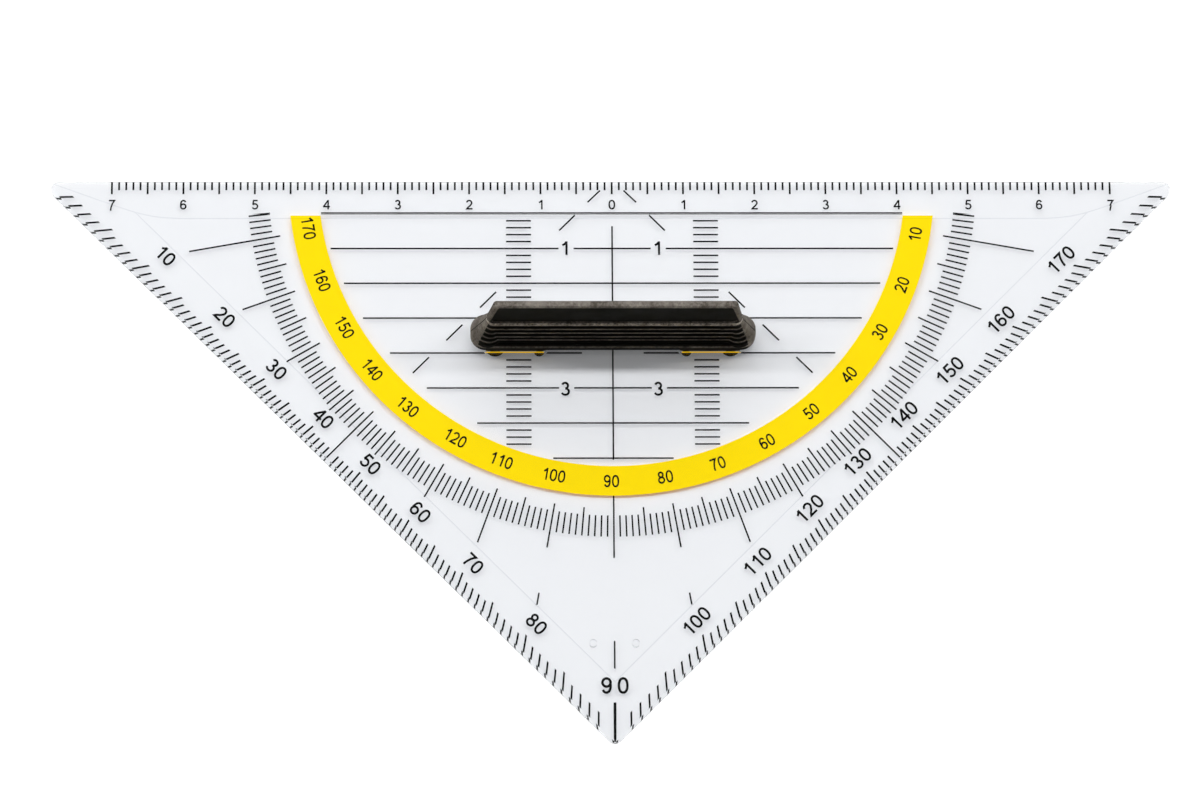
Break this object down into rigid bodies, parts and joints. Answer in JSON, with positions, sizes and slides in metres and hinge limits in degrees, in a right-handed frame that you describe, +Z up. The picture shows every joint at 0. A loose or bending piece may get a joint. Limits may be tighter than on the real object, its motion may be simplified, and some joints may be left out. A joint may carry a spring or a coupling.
{
  "type": "geometry triangle",
  "caption": "Clear right-angled set square with a ruler, offset lines and a protractor printed underneath, and a ribbed finger grip that snaps into slots.",
  "frame": {"origin": "on the paper that the nubs stand on, below the middle of the outline's bounding box", "axes": "+X along the drawing edge to the right, +Y square to it towards the drawing edge, -Y towards the apex, +Z up from the paper"},
  "size_m": [0.1568, 0.0796, 0.0202],
  "materials": {
    "clear_acrylic": "clear, polished",
    "black_plastic": "satin",
    "black_ink": "matt print",
    "yellow_ink": "matt print"
  },
  "bodies": {
    "printed_plate": {"plate": "clear_acrylic", "protractor_band": "yellow_ink", "edge_ruler_marks": "black_ink", "offset_line_grid": "black_ink", "left_offset_scale": "black_ink", "right_offset_scale": "black_ink", "diagonal_guides": "black_ink", "ring_degree_marks": "black_ink", "ten_degree_rays": "black_ink", "left_rim_degree_scale": "black_ink", "right_rim_degree_scale": "black_ink", "apex_mark": "black_ink"},
    "detachable_handle": {"handle_grip": "black_plastic", "left_snap_foot": "black_plastic", "right_snap_foot": "black_plastic"}
  },
  "joints": [
    {"name": "handle_lift", "type": "slide", "parent": "printed_plate", "child": "detachable_handle", "axis": [0, 0, 1], "range_m": [0, 0.025], "deforming": ["left_snap_foot", "right_snap_foot"]}
  ]
}
